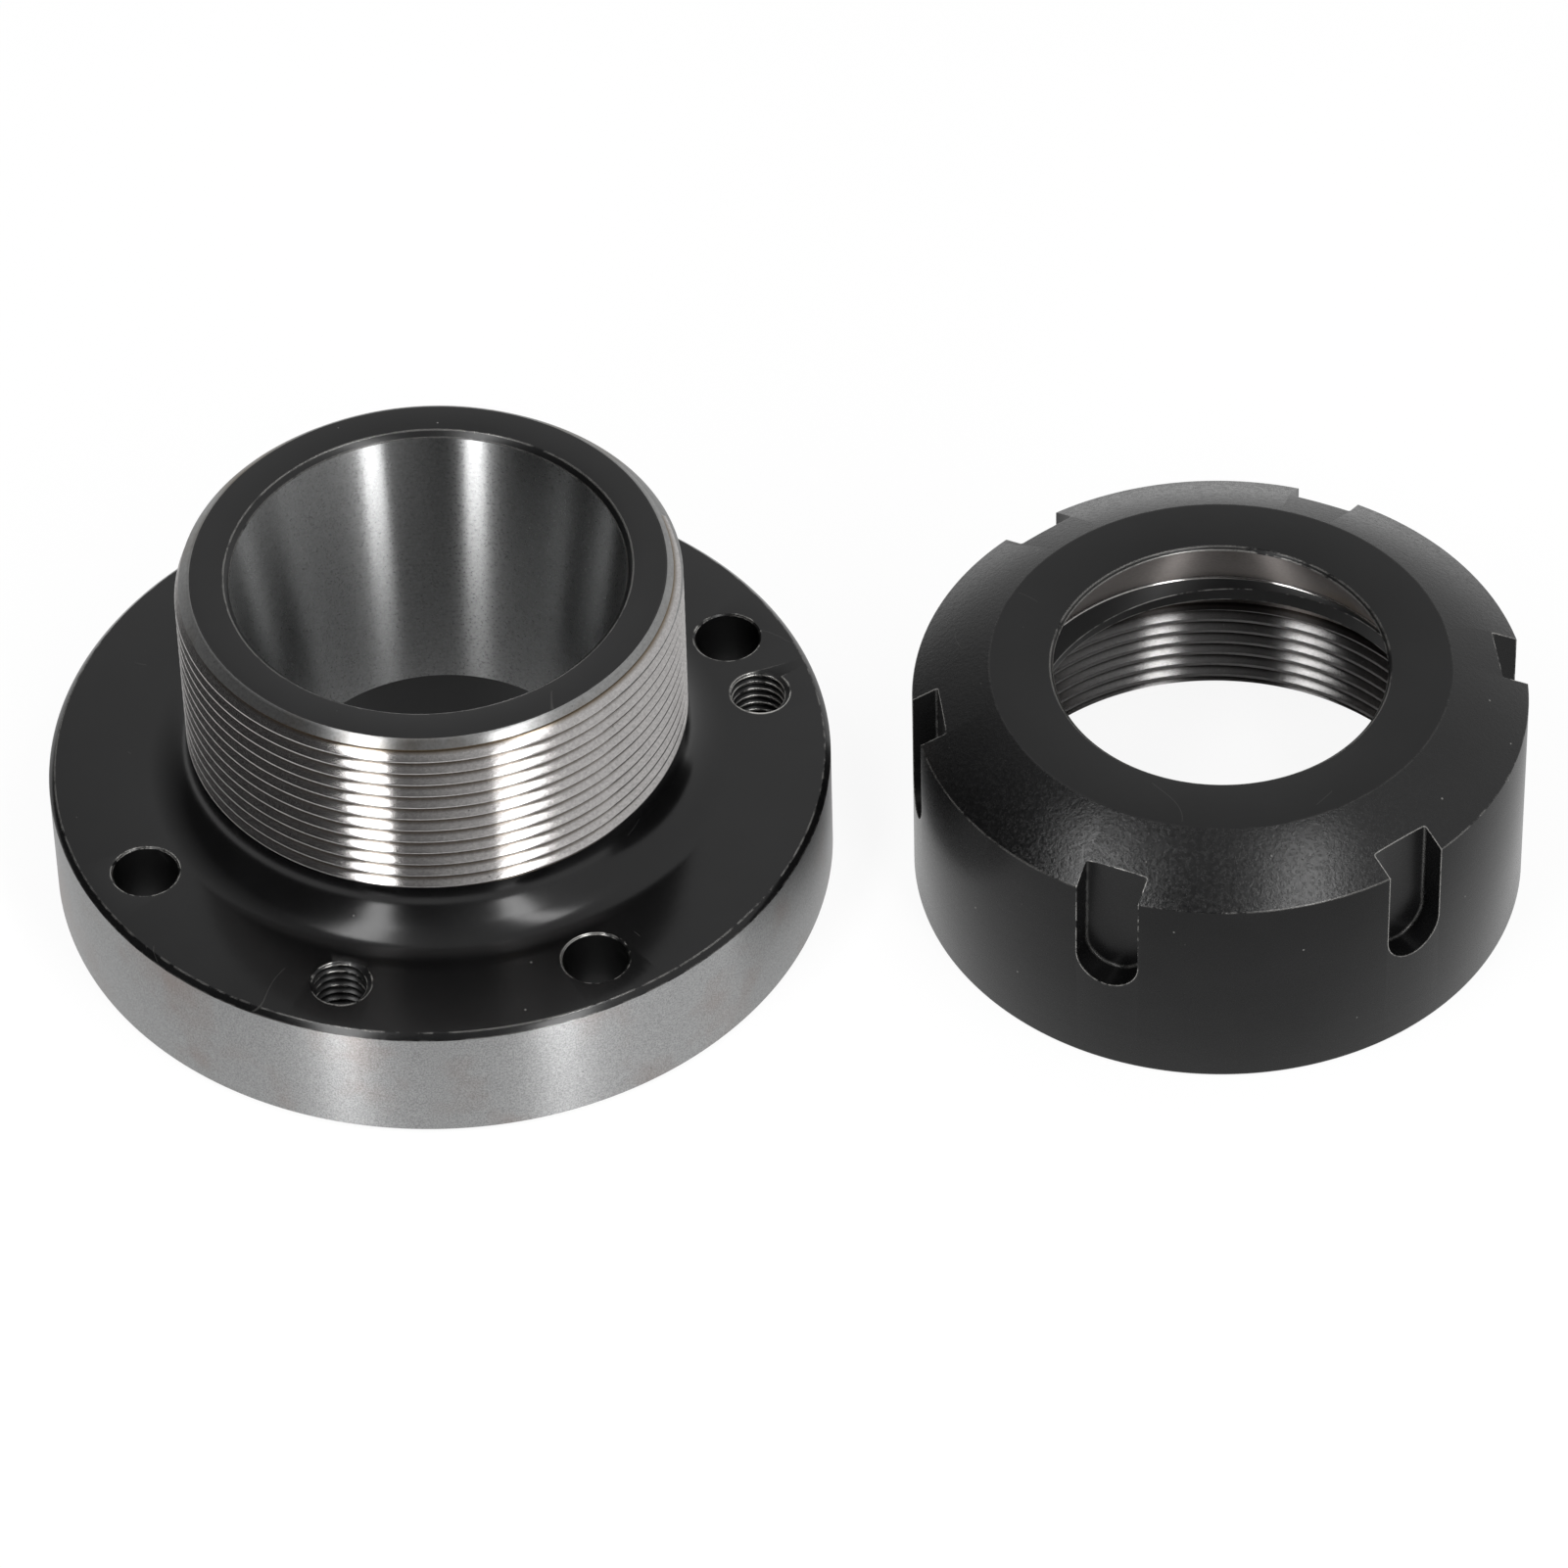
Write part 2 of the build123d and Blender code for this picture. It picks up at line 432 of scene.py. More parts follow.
def drill(piece, mount, chamfer, depth, first):
    """Drill a mount's holes from the first bearing on. Returns their radius and places.

    The drill has a flare at each end that breaks the hole's edges.
    """
    radius = mount_size(mount, "hole_r_mm")
    circle = mount_size(mount, "pcd_mm") / 2
    count = MOUNTS[mount]["dims"]["count"]
    flare = radius + chamfer + MM
    tool = turn(mount, [
        (0.0, -MM), (flare, -MM), (radius, chamfer),
        (radius, depth - chamfer), (flare, depth + MM), (0.0, depth + MM),
    ], ORIGIN, HOLE_STEPS)
    places = []
    for number in range(count):
        bearing = first + number * 2 * pi / count
        out = Vector((cos(bearing), sin(bearing), 0.0)) * circle
        places.append(Matrix.Translation(BODY_AXIS + out))
    cut(piece, copy_round(tool, places))
    return radius, places


def paint(piece, axis, materials, choose):
    """Give each face the finish that the choose function names for its place."""
    names = [material.name for material in materials]
    piece.data.materials.clear()
    for material in materials:
        piece.data.materials.append(material)
    for face in piece.data.polygons:
        radius = hypot(face.center.x - axis.x, face.center.y - axis.y)
        face.material_index = names.index(choose(radius, face.center.z, face.normal))
    pick(piece)
    bpy.ops.object.shade_smooth_by_angle(angle=SMOOTH_ANGLE)


class NodeBench:
    """A node tree with short ways to add and join nodes."""

    def __init__(self, tree):
        self.tree = tree
        self.column = 0

    def feed(self, node, **inputs):
        """Fill a node's inputs with values or links.

        An input goes by its name, with underscores for spaces, or by in0, in1 and so on.
        """
        for key, value in inputs.items():
            by_number = key.startswith("in") and key[2:].isdigit()
            socket = node.inputs[int(key[2:]) if by_number else key.replace("_", " ")]
            if isinstance(value, bpy.types.NodeSocket):
                self.tree.links.new(value, socket)
            else:
                socket.default_value = value

    def add(self, kind, settings=None, **inputs):
        """Add a node, set its properties and fill its inputs."""
        node = self.tree.nodes.new(kind)
        self.column += 1
        node.location = (self.column * 180, -(self.column % 4) * 160)
        for key, value in (settings or {}).items():
            setattr(node, key, value)
        self.feed(node, **inputs)
        return node

    def maths(self, operation, first, second=0.0, clamp=False):
        """A maths node's result."""
        settings = {"operation": operation, "use_clamp": clamp}
        return self.add("ShaderNodeMath", settings, in0=first, in1=second).outputs[0]

    def plus(self, first, second):
        return self.maths("ADD", first, second)

    def minus(self, first, second, clamp=False):
        return self.maths("SUBTRACT", first, second, clamp)

    def times(self, first, second, clamp=False):
        return self.maths("MULTIPLY", first, second, clamp)

    def vectors(self, operation, result=0, **inputs):
        """A vector maths node's result."""
        return self.add("ShaderNodeVectorMath", {"operation": operation}, **inputs).outputs[result]

    def ramp(self, value, *stops):
        """A colour ramp's result, from grey stops as place and level."""
        node = self.add("ShaderNodeValToRGB", in0=value)
        for element, (position, grey) in zip(node.color_ramp.elements, stops):
            element.position = position
            element.color = (grey, grey, grey, 1.0)
        return node.outputs["Color"]

    def mix(self, share, first, second):
        """A colour between two colours."""
        ends = [end if isinstance(end, bpy.types.NodeSocket) else (*end, 1.0)
                for end in (first, second)]
        node = self.add("ShaderNodeMix", {"data_type": "RGBA"}, in0=share, in6=ends[0], in7=ends[1])
        return node.outputs[2]

    def noise(self, place, scale, detail=2.0, rough=0.5):
        """A noise texture's grey result. Its scale is in cells to a metre."""
        return self.add("ShaderNodeTexNoise", Vector=place, Scale=scale, Detail=detail,
                        Roughness=rough).outputs[0]

    def normal(self):
        """The surface's plain normal."""
        return self.add("ShaderNodeNewGeometry").outputs["Normal"]


# The groups' sockets that are vectors. The others are numbers.
VECTORS = ("Place", "Across", "Normal")


def new_group(name, given, made):
    """A shader node group with the named inputs and outputs. Its users feed every input.

    Returns its bench, its inputs and its output node.
    """
    group = bpy.data.node_groups.new(name, "ShaderNodeTree")
    for way, labels in (("INPUT", given), ("OUTPUT", made)):
        for label in labels:
            kind = "NodeSocketVector" if label in VECTORS else "NodeSocketFloat"
            group.interface.new_socket(label, in_out=way, socket_type=kind)
    bench = NodeBench(group)
    return bench, bench.add("NodeGroupInput").outputs, bench.add("NodeGroupOutput")


def turned_place_group():
    """Radius, height and bearing round a piece's axis, and the way across its tool marks."""
    bench, given, sink = new_group(
        "TurnedPlace", ("Axis X", "Axis Y"), ("Radius", "Height", "Bearing", "Place", "Across"))
    where = bench.add("ShaderNodeTexCoord").outputs["Object"]
    x, y, height = bench.add("ShaderNodeSeparateXYZ", in0=where).outputs
    right = bench.minus(x, given["Axis X"])
    away = bench.minus(y, given["Axis Y"])
    squares = bench.plus(bench.times(right, right), bench.times(away, away))
    along = bench.add("ShaderNodeCombineXYZ", X=bench.times(away, -1.0), Y=right).outputs[0]
    along = bench.vectors("NORMALIZE", in0=along)
    bench.feed(
        sink, Radius=bench.maths("SQRT", squares), Height=height,
        Bearing=bench.maths("ARCTAN2", away, right), Place=where,
        Across=bench.vectors("CROSS_PRODUCT", in0=along, in1=bench.normal()))
    return bench.tree


def tool_marks_group():
    """Marks that run round the axis, as a turning tool or a wheel leaves them.

    Fineness is marks to a metre across them, Streaks is how many there are round the
    axis, Slope is how far they tilt the surface, and Lean is how far all of them tilt it
    the same way, as feed marks do.
    """
    bench, given, sink = new_group(
        "ToolMarks",
        ("Radius", "Height", "Bearing", "Across", "Fineness", "Streaks", "Slope", "Lean"),
        ("Marks", "Normal"))
    round_x = bench.maths("COSINE", given["Bearing"])
    round_y = bench.maths("SINE", given["Bearing"])
    # Radius and height together grow along every turned face but one that slopes at 45
    # degrees, so a little of their difference is added
    span = bench.plus(given["Radius"], given["Height"])
    rise = bench.minus(given["Radius"], given["Height"])
    spread = bench.plus(span, bench.times(rise, 0.13))
    reach = bench.maths("DIVIDE", given["Streaks"], 2 * pi)

    def streaks(share, fineness):
        """Noise stretched round the axis."""
        turns = bench.times(reach, share)
        place = bench.add(
            "ShaderNodeCombineXYZ", X=bench.times(round_x, turns), Y=bench.times(round_y, turns),
            Z=bench.times(spread, bench.times(given["Fineness"], fineness)))
        return bench.noise(place.outputs[0], scale=1.0, rough=0.6)

    marks = bench.plus(bench.times(streaks(1.0, 0.4), 0.4), bench.times(streaks(8.0, 1.0), 0.6))
    tilt = bench.times(bench.minus(marks, 0.5), bench.times(given["Slope"], 10.0))
    tilt = bench.plus(tilt, given["Lean"])
    lean = bench.vectors("SCALE", in0=given["Across"], Scale=tilt)
    leant = bench.vectors("ADD", in0=bench.normal(), in1=lean)
    bench.feed(sink, Marks=marks, Normal=bench.vectors("NORMALIZE", in0=leant))
    return bench.tree


# How steeply the masks of edges, wear, specks and scratches turn from 0 to 1
EDGE_GAIN, WEAR_GAIN = 30.0, 12.0
SPECK_GAIN, SCRATCH_GAIN = 40.0, 420.0

# A speck's radius in its cell, and the noise above which specks and scratches show
SPECK_RADIUS, SPECK_START, SCRATCH_START = 0.055, 0.6, 0.66


def worn_edge_group():
    """Mask of the sharp edges, broken up by noise, from how far a rounded normal leans."""
    bench, given, sink = new_group("WornEdge", ("Place", "Width", "Least Wear"), ("Mask",))
    rounded = bench.add("ShaderNodeBevel", {"samples": 6}, Radius=given["Width"]).outputs[0]
    same = bench.vectors("DOT_PRODUCT", "Value", in0=rounded, in1=bench.normal())
    edge = bench.times(bench.minus(1.0, same, clamp=True), EDGE_GAIN, clamp=True)
    fine = bench.noise(given["Place"], scale=450.0, detail=4.0, rough=0.7)
    coarse = bench.noise(given["Place"], scale=54.0, detail=1.0)
    patches = bench.plus(bench.times(fine, 0.6), bench.times(coarse, 0.4))
    bare = bench.times(bench.minus(patches, given["Least Wear"]), WEAR_GAIN, clamp=True)
    bench.feed(sink, Mask=bench.times(edge, bare))
    return bench.tree


def speckle_group():
    """Fine grain, slow clouds, sparse specks of dust and hairline scratches."""
    bench, given, sink = new_group(
        "Speckle", ("Place", "Fineness"), ("Grain", "Cloud", "Specks", "Scratches"))
    place = given["Place"]
    cells = bench.add("ShaderNodeTexVoronoi", Vector=place, Scale=330.0).outputs
    inside = bench.minus(SPECK_RADIUS, cells["Distance"])
    spot = bench.times(inside, SPECK_GAIN, clamp=True)
    chosen = bench.maths("GREATER_THAN", cells["Color"], SPECK_START)
    wave = bench.noise(place, scale=55.0, detail=0.0)
    off_line = bench.maths("ABSOLUTE", bench.minus(wave, 0.5))
    hair = bench.minus(1.0, bench.times(off_line, SCRATCH_GAIN), clamp=True)
    marred = bench.noise(place, scale=130.0, detail=1.0)
    here = bench.maths("GREATER_THAN", marred, SCRATCH_START)
    bench.feed(
        sink, Grain=bench.noise(place, given["Fineness"], detail=3.0, rough=0.7),
        Cloud=bench.noise(place, scale=90.0, detail=3.0, rough=0.55),
        Specks=bench.times(spot, chosen), Scratches=bench.times(hair, here))
    return bench.tree


def new_material(name):
    """A material with a Principled shader. Returns it with its bench and shader."""
    material = bpy.data.materials.new(name)
    material.use_nodes = True
    bench = NodeBench(material.node_tree)
    bench.tree.nodes.clear()
    shader = bench.add("ShaderNodeBsdfPrincipled")
    bench.add("ShaderNodeOutputMaterial", Surface=shader.outputs[0])
    return material, bench, shader


# The node groups that the finishes share, which main makes
GROUPS = {}

# Colour of the dust on bare steel
DUST = (0.05, 0.045, 0.04)


def placed(bench, group, **inputs):
    """Place one of the shared groups in a material. Returns its outputs."""
    return bench.add("ShaderNodeGroup", {"node_tree": GROUPS[group]}, **inputs).outputs


def turned_place(bench, axis):
    """Place the turned coordinates in a material."""
    return placed(bench, "place", Axis_X=axis.x, Axis_Y=axis.y)


def marked(bench, axis, grain_fineness, **marking):
    """Place the turned coordinates, tool marks and speckle. Returns their outputs."""
    place = turned_place(bench, axis)
    where = {key: place[key] for key in ("Radius", "Height", "Bearing", "Across")}
    marks = placed(bench, "marks", **where, **marking)
    grain = placed(bench, "speckle", Place=place["Place"], Fineness=grain_fineness)
    return place, marks, grain


def steel(name, axis, metal, roughness, fineness=9000.0, shade=0.15, marks_share=0.4,
          grain_fineness=2600.0, tint=None, tint_share=0.5, thread=None, lean=0.0):
    """Bare machined steel of the metal's colour, with marks round the axis.

    A tint lies on it in patches. A thread, as crest radius, root radius, root shade colour and the
    share of its depth where that colour starts, darkens it towards the roots: painted shade in
    the thread's grooves.
    """
    material, bench, shader = new_material(name)
    place, marks, grain = marked(
        bench, axis, grain_fineness, Fineness=fineness, Streaks=40.0, Slope=0.01, Lean=lean)
    dark = [channel * (1 - shade) for channel in metal]
    light = [min(1.0, channel * (1 + shade)) for channel in metal]
    pattern = bench.plus(bench.times(marks["Marks"], marks_share),
                         bench.times(grain["Grain"], 1 - marks_share))
    base = bench.mix(bench.ramp(pattern, (0.38, 0.0), (0.62, 1.0)), dark, light)
    if tint is not None:
        base = bench.mix(bench.ramp(grain["Cloud"], (0.5, 0.0), (0.75, tint_share)), base, tint)
    # Painted shade: darker towards the thread's roots
    if thread is not None:
        crest_radius, root_radius, root_shade_colour, root_shade_start = thread
        depth = bench.maths("DIVIDE", bench.minus(place["Radius"], crest_radius),
                            root_radius - crest_radius, clamp=True)
        base = bench.mix(bench.ramp(depth, (root_shade_start, 0.0), (0.95, 0.9)), base, root_shade_colour)
    base = bench.mix(bench.times(grain["Specks"], 0.5), base, DUST)
    tangent = bench.add("ShaderNodeTangent", {"direction_type": "RADIAL", "axis": "Z"})
    bench.feed(
        shader, Base_Color=base, Metallic=1.0, Anisotropic=1.0, Anisotropic_Rotation=0.25,
        Roughness=bench.plus(roughness - 0.03, bench.times(grain["Grain"], 0.06)),
        Tangent=tangent.outputs[0], Normal=marks["Normal"])
    return material


def blackened(name, axis, colours, roughness, specular, grain_depth=0.002 * MM,
              grain_fineness=2400.0, marks_slope=0.004, wear_width=0.26 * MM, least_wear=0.46,
              wear_share=1.0, rough_spread=0.08):
    """Black oxide over steel, with bare steel at the worn edges."""
    material, bench, shader = new_material(name)
    place, marks, grain = marked(
        bench, axis, grain_fineness, Fineness=2500.0, Streaks=10.0, Slope=marks_slope, Lean=0.0)
    edges = placed(bench, "wear", Place=place["Place"], Width=wear_width, Least_Wear=least_wear)
    marred = bench.plus(bench.times(grain["Specks"], 0.3), bench.times(grain["Scratches"], 0.05))
    worn = bench.maths("MAXIMUM", bench.times(edges["Mask"], wear_share), marred)
    dusty = [channel * 1.6 for channel in colours.black_oxide]
    base = bench.mix(bench.ramp(grain["Cloud"], (0.35, 0.0), (0.7, 1.0)),
                     colours.black_oxide, dusty)
    base = bench.mix(worn, base, colours.worn_steel)
    bump = bench.add("ShaderNodeBump", Strength=1.0, Distance=grain_depth,
                     Height=grain["Grain"], Normal=marks["Normal"])
    bench.feed(
        shader, Base_Color=base, Metallic=worn, Specular_IOR_Level=specular,
        Roughness=bench.plus(roughness - rough_spread / 2,
                             bench.times(grain["Grain"], rough_spread)),
        Normal=bump.outputs[0])
    return material


class CHUCK_OT_body(bpy.types.Operator):
    """Turn the flanged body, drill and tap its flange, and cut the thread on its nose"""

    bl_idname = "chuck.body"
    bl_label = "Chuck Body"

    def execute(self, context):
        sizes = context.scene.chuck_body_sizes
        threads = context.scene.chuck_threads
        rim = BODY_HIGH.x
        top = BODY_HIGH.z
        nose = mount_size("nose_thread")
        mouth = mount_size("collet_socket")
        bore = mount_size("rear_bore")
        recess = mount_size("rear_register")
        recess_floor = mount_size("rear_register", "length_mm")
        bore_top = recess_floor + mount_size("rear_bore", "length_mm")
        undercut = nose - sizes.undercut_depth
        flange = sizes.flange_thickness
        nose_foot = flange + sizes.cove_radius
        cove_foot = undercut + sizes.cove_radius
        rim_chamfer = sizes.rim_chamfer
        # Corners to break after the turning
        rim_corners = [
            (rim - rim_chamfer, 0.0), (rim, rim_chamfer),
            (rim, flange - rim_chamfer), (rim - rim_chamfer, flange),
        ]
        nose_end = (nose - sizes.nose_chamfer, top)
        socket = [
            (mouth + sizes.mouth_chamfer, top), (mouth, top - sizes.mouth_chamfer),
            (bore, bore_top),
        ]
        body = turn("body_turned", [
            (bore, recess_floor),
            (recess, recess_floor),
            (recess, sizes.register_chamfer),
            (recess + sizes.register_chamfer, 0.0),
            *rim_corners,
            *quarter_cove(cove_foot, flange, sizes.cove_radius),
            (nose, nose_foot + sizes.thread_exit_rise),
            (nose, top - sizes.nose_chamfer),
            nose_end,
            *socket,
        ], BODY_AXIS)
        break_edges(body, BODY_AXIS, rim_corners + socket, sizes.edge_round, segments=2)
        break_edges(body, BODY_AXIS, [nose_end], sizes.nose_round, segments=4)

        # The plain holes, and the tapped holes at their tapping size
        first = sizes.bolt_hole_angle
        plain, _ = drill(body, "bolt_holes", sizes.hole_chamfer, flange, first)
        tapping, places = drill(
            body, "tapped_holes", sizes.hole_chamfer + sizes.tapped_chamfer_more, flange,
            first - sizes.tapped_hole_lag)
        pitch = threads.screw_pitch
        groove = groove_section(tapping, tapping + TAPPED_DEPTH * pitch,
                                TAPPED_HALF_GAP * pitch, reach=0.4 * MM)
        tap = thread_tool("tap", groove, ORIGIN, pitch, 0.0, low=-pitch,
                          high=flange + 2 * pitch, steps=HOLE_STEPS // 2)
        cut(body, copy_round(tap, places))

        # The thread on the nose
        pitch = threads.nose_pitch
        root = nose - SCREW_DEPTH * pitch
        groove = groove_section(nose, root, SCREW_HALF_GAP * pitch, reach=0.3 * MM,
                                crest_break=threads.crest_break)
        cut(body, thread_tool("nose_thread", groove, BODY_AXIS, pitch, threads.nose_phase,
                              low=nose_foot - 0.4 * pitch, high=top + 1.5 * pitch))
        clean(body)

        colours = context.scene.chuck_colours
        tint_and_root_shade = colours.heat_tint_and_root_shade
        finishes = [
            steel("rim_steel", BODY_AXIS, colours.ground_steel, roughness=0.33, shade=0.25,
                  marks_share=0.12, grain_fineness=4600.0, tint=colours.rust_tint,
                  tint_share=0.35),
            # Darker and browner towards the thread's roots: partly brown tint, partly painted shade in
            # the grooves
            steel("thread_steel", BODY_AXIS, colours.thread_steel, roughness=0.2,
                  fineness=12000.0, thread=(nose, root, tint_and_root_shade, 0.55)),
            steel("chamfer_steel", BODY_AXIS, colours.chamfer_steel, roughness=0.32,
                  fineness=12000.0, tint=tint_and_root_shade, tint_share=0.6),
            steel("taper_steel", BODY_AXIS, colours.taper_steel, roughness=0.28,
                  marks_share=0.3, lean=0.27),
            blackened("face_black", BODY_AXIS, colours, roughness=0.18, specular=0.35,
                      grain_depth=0.0006 * MM, grain_fineness=1800.0, marks_slope=0.002),
            blackened("mouth_black", BODY_AXIS, colours, roughness=0.25, specular=0.36,
                      wear_width=0.3 * MM, least_wear=0.38),
            blackened("hole_black", BODY_AXIS, colours, roughness=0.3, specular=0.35,
                      grain_depth=0.001 * MM),
            blackened("bore_black", BODY_AXIS, colours, roughness=0.5, specular=0.2,
                      grain_depth=0.003 * MM, grain_fineness=1800.0, least_wear=0.6),
        ]
        circle = mount_size("bolt_holes", "pcd_mm") / 2
        hole_reach = plain + sizes.hole_chamfer + MM

        def finish(radius, height, normal):
            """The finish of the body's face at a place."""
            if radius > rim - rim_chamfer + NEAR:
                return "face_black" if normal.z > 0.5 else "rim_steel"
            in_recess = radius > recess - NEAR and height < recess_floor - NEAR
            if height < NEAR or (in_recess and radius < recess + MM):
                return "rim_steel"
            if height < flange - NEAR and abs(radius - circle) < hole_reach:
                return "hole_black"
            # Radius and height together are greatest on the nose's chamfer, which slopes
            # at 45 degrees
            ring_sum = nose - sizes.nose_chamfer + top - sizes.nose_round / 2
            if radius + height > ring_sum and 0.5 < normal.z < 0.998:
                return "chamfer_steel"
            if radius > nose - sizes.nose_chamfer and height > nose_foot + NEAR:
                return "thread_steel"
            if height > top - sizes.mouth_chamfer - 0.05 * MM:
                return "mouth_black" if radius < mouth + 2 * MM else "face_black"
            if height > bore_top and radius < mouth + NEAR:
                return "taper_steel"
            if radius < bore + NEAR or height < recess_floor + NEAR:
                return "bore_black"
            return "face_black"

        paint(body, BODY_AXIS, finishes, finish)
        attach(body, "root")
        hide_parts("chuck_body")
        return {"FINISHED"}


class CHUCK_OT_nut(bpy.types.Operator):
    """Turn the clamping nut, bore its ring off centre, mill its slots and cut its thread"""

    bl_idname = "chuck.nut"
    bl_label = "Clamping Nut"

    def execute(self, context):
        sizes = context.scene.chuck_nut_sizes
        threads = context.scene.chuck_threads
        rim = (NUT_HIGH.x - NUT_LOW.x) / 2
        top = NUT_HIGH.z
        major = mount_size("nose_thread") + threads.play
        pitch = threads.nose_pitch
        minor = major - NUT_DEPTH * pitch
        cone_foot = top - sizes.cone_drop
        # Corners to break after the turning
        outside = [
            (rim - sizes.rear_chamfer, 0.0), (rim, sizes.rear_chamfer), (rim, cone_foot),
            (sizes.face_radius, top), (sizes.bore_radius + sizes.bore_chamfer, top),
            (sizes.bore_radius, top - sizes.bore_chamfer),
        ]
        seat_end = (sizes.seat_radius, sizes.seat_foot)
        nut = turn("nut_turned", [
            (minor, major - minor),
            (major, 0.0),
            *outside,
            seat_end,
            (sizes.ring_core_radius, sizes.ring_lip),
            (sizes.ring_core_radius, sizes.ring_rear),
            (sizes.relief_radius, sizes.ring_rear),
            (sizes.relief_radius, sizes.thread_length),
            (minor, sizes.thread_length),
        ], NUT_AXIS)
        break_edges(nut, NUT_AXIS, outside, sizes.edge_round, segments=2)
        break_edges(nut, NUT_AXIS, [seat_end], sizes.seat_round, segments=4)

        # The pulling ring, bored off centre
        ring_axis = NUT_AXIS + Vector((sizes.ring_offset, 0.0, 0.0))
        ring_low = sizes.ring_rear - MM
        cut(nut, turn("ring_bore", [
            (0.0, ring_low), (sizes.ring_bore_radius, ring_low),
            (sizes.ring_bore_radius, sizes.seat_foot), (0.0, sizes.seat_foot),
        ], ring_axis))

        # The spanner slots, and the thread behind the relief
        cut(nut, self.slot_tools(sizes, rim, top))
        groove = groove_section(minor, major, NUT_HALF_GAP * pitch, reach=0.5 * MM,
                                crest_break=threads.crest_break)
        cut(nut, thread_tool("nut_thread", groove, NUT_AXIS, pitch, threads.nut_phase,
                             low=-0.5 * pitch, high=sizes.thread_length + 1.5 * pitch))
        clean(nut)

        colours = context.scene.chuck_colours
        tint_and_root_shade = colours.heat_tint_and_root_shade
        finishes = [
            blackened("nut_black", NUT_AXIS, colours, roughness=0.32, specular=0.28,
                      wear_width=0.22 * MM, wear_share=0.5, least_wear=0.44),
            blackened("nut_rim_black", NUT_AXIS, colours, roughness=0.28, specular=0.2,
                      wear_width=0.22 * MM, wear_share=0.6, least_wear=0.44),
            blackened("nut_cone_black", NUT_AXIS, colours, roughness=0.24, specular=0.38,
                      grain_depth=0.04 * MM, grain_fineness=1800.0, marks_slope=0.001,
                      wear_width=0.22 * MM, wear_share=0.6, least_wear=0.44, rough_spread=0.5),
            blackened("nut_mouth_black", NUT_AXIS, colours, roughness=0.3, specular=0.15,
                      wear_width=0.34 * MM, least_wear=0.4),
            blackened("ring_black", NUT_AXIS, colours, roughness=0.3, specular=0.25,
                      wear_width=0.2 * MM, wear_share=0.5),
            steel("seat_steel", NUT_AXIS, colours.seat_steel, roughness=0.42, tint=tint_and_root_shade),
            steel("relief_steel", NUT_AXIS, colours.seat_steel, roughness=0.42, tint=tint_and_root_shade,
                  tint_share=0.3),
            steel("groove_steel", NUT_AXIS, colours.thread_steel, roughness=0.2, tint=tint_and_root_shade,
                  tint_share=0.3),
            # Darker towards the thread's roots: painted shade in the grooves
            steel("nut_thread_steel", NUT_AXIS, colours.nut_thread_steel, roughness=0.26,
                  fineness=12000.0, thread=(minor, major, colours.nut_root_shade, 0.6)),
        ]

        def finish(radius, height, normal):
            """The finish of the nut's face at a place."""
            if height > top - NEAR:
                return "nut_black"
            if radius > sizes.relief_radius + NEAR and (normal.z < 0.3 or height < cone_foot):
                return "nut_rim_black"
            if height > sizes.seat_foot + MM and normal.z > -0.4:
                return "nut_cone_black" if radius > sizes.bore_radius + MM else "nut_mouth_black"
            if radius > sizes.seat_radius - sizes.seat_round and height > sizes.ring_lip:
                return "groove_steel"
            if height > sizes.seat_foot and normal.z < 0:
                return "seat_steel"
            if height > sizes.ring_rear - NEAR:
                return "relief_steel" if normal.z < -0.9 else "ring_black"
            if height > sizes.thread_length + NEAR:
                return "relief_steel"
            if radius > minor - MM:
                return "nut_thread_steel"
            return "nut_black"

        paint(nut, NUT_AXIS, finishes, finish)
        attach(nut, "root")
        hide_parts("clamping_nut")
        return {"FINISHED"}

    def slot_tools(self, sizes, rim, top):
        """One milling tool with a round end for each spanner slot, joined together."""
        to_objects()
        floor = rim - sizes.slot_depth
        depth = 2 * sizes.slot_depth
        end = top - sizes.slot_length + sizes.slot_width / 2
        bpy.ops.mesh.primitive_cylinder_add(
            vertices=HOLE_STEPS, radius=sizes.slot_width / 2, depth=depth,
            location=(floor + depth / 2, 0.0, end), rotation=(0.0, pi / 2, 0.0))
        tool = bpy.context.object
        tool.name = "slot_tool"
        place_in_mesh(tool)
        edit_where(tool, "VERT", lambda vertex: vertex.co.z > end + NEAR)
        bpy.ops.transform.translate(value=(0.0, 0.0, sizes.slot_length))
        edit_where(tool, "EDGE", lambda edge: all(
            vertex.co.x < floor + NEAR for vertex in edge.verts))
        bpy.ops.mesh.bevel(offset=sizes.slot_corner, segments=3, affect="EDGES")
        to_objects()
        places = []
        for number in range(sizes.slot_count):
            bearing = sizes.slot_angle + number * 2 * pi / sizes.slot_count
            places.append(Matrix.Translation(NUT_AXIS) @ Matrix.Rotation(bearing, 4, "Z"))
        return copy_round(tool, places)


